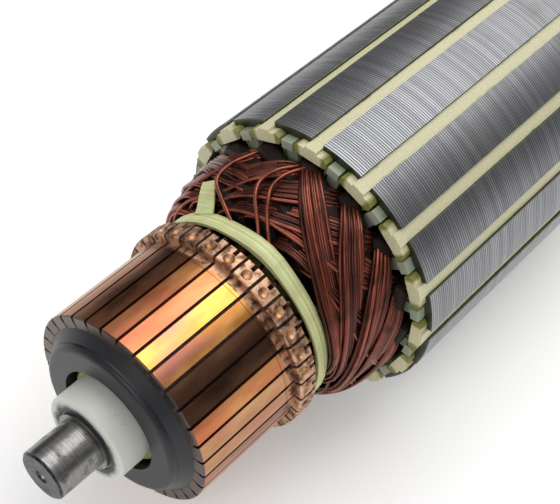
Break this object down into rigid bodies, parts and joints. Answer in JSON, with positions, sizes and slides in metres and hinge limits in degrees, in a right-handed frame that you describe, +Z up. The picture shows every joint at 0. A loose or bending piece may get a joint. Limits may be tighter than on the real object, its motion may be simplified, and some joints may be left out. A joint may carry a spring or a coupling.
{
  "type": "motor armature",
  "caption": "Wound armature of a universal motor: slotted steel core, copper coils, ribbed copper commutator, nylon collar and steel shaft with two bearing journals.",
  "frame": {"origin": "on the shaft's axis, at the middle of the commutator-end journal", "axes": "+X along the shaft towards the drive end, +Z up with a core slot facing down"},
  "size_m": [0.169, 0.054, 0.054],
  "materials": {
    "shaft_steel": "ground, slightly oily",
    "core_steel": "stacked electrical steel sheets, turned and lightly varnished",
    "copper": "turned copper with heat tint",
    "mica": "dull, undercut",
    "phenolic": "moulded, soft sheen",
    "nylon": "milky, satin",
    "epoxy_glass": "wound epoxy glass tube",
    "enamelled_wire": "enamelled copper, varnished",
    "binding_tape": "glass tape soaked in varnish",
    "end_fibre": "translucent fibre board",
    "liner_paper": "resin-soaked paper",
    "wedge_fibre": "resin-soaked fibre"
  },
  "bodies": {
    "root": {"shaft": "shaft_steel", "shaft_sleeve": "epoxy_glass", "nylon_collar": "nylon", "commutator_hub": "phenolic", "commutator_bar_1": "copper", "commutator_bar_2": "copper", "commutator_bar_3": "copper", "commutator_bar_4": "copper", "commutator_bar_5": "copper", "commutator_bar_6": "copper", "commutator_bar_7": "copper", "commutator_bar_8": "copper", "commutator_bar_9": "copper", "commutator_bar_10": "copper", "commutator_bar_11": "copper", "commutator_bar_12": "copper", "commutator_bar_13": "copper", "commutator_bar_14": "copper", "commutator_bar_15": "copper", "commutator_bar_16": "copper", "commutator_bar_17": "copper", "commutator_bar_18": "copper", "commutator_bar_19": "copper", "commutator_bar_20": "copper", "commutator_bar_21": "copper", "commutator_bar_22": "copper", "commutator_bar_23": "copper", "commutator_bar_24": "copper", "commutator_bar_25": "copper", "commutator_bar_26": "copper", "commutator_bar_27": "copper", "commutator_bar_28": "copper", "commutator_bar_29": "copper", "commutator_bar_30": "copper", "commutator_bar_31": "copper", "commutator_bar_32": "copper", "mica_separators": "mica", "lead_wires": "enamelled_wire", "binding_band": "binding_tape", "core": "core_steel", "front_insulator": "end_fibre", "rear_insulator": "end_fibre", "slot_liners": "liner_paper", "slot_wedges": "wedge_fibre", "coil_1": "enamelled_wire", "coil_2": "enamelled_wire", "coil_3": "enamelled_wire", "coil_4": "enamelled_wire", "coil_5": "enamelled_wire", "coil_6": "enamelled_wire", "coil_7": "enamelled_wire", "coil_8": "enamelled_wire", "coil_9": "enamelled_wire", "coil_10": "enamelled_wire", "coil_11": "enamelled_wire", "coil_12": "enamelled_wire", "coil_13": "enamelled_wire", "coil_14": "enamelled_wire", "coil_15": "enamelled_wire", "coil_16": "enamelled_wire"}
  },
  "joints": []
}
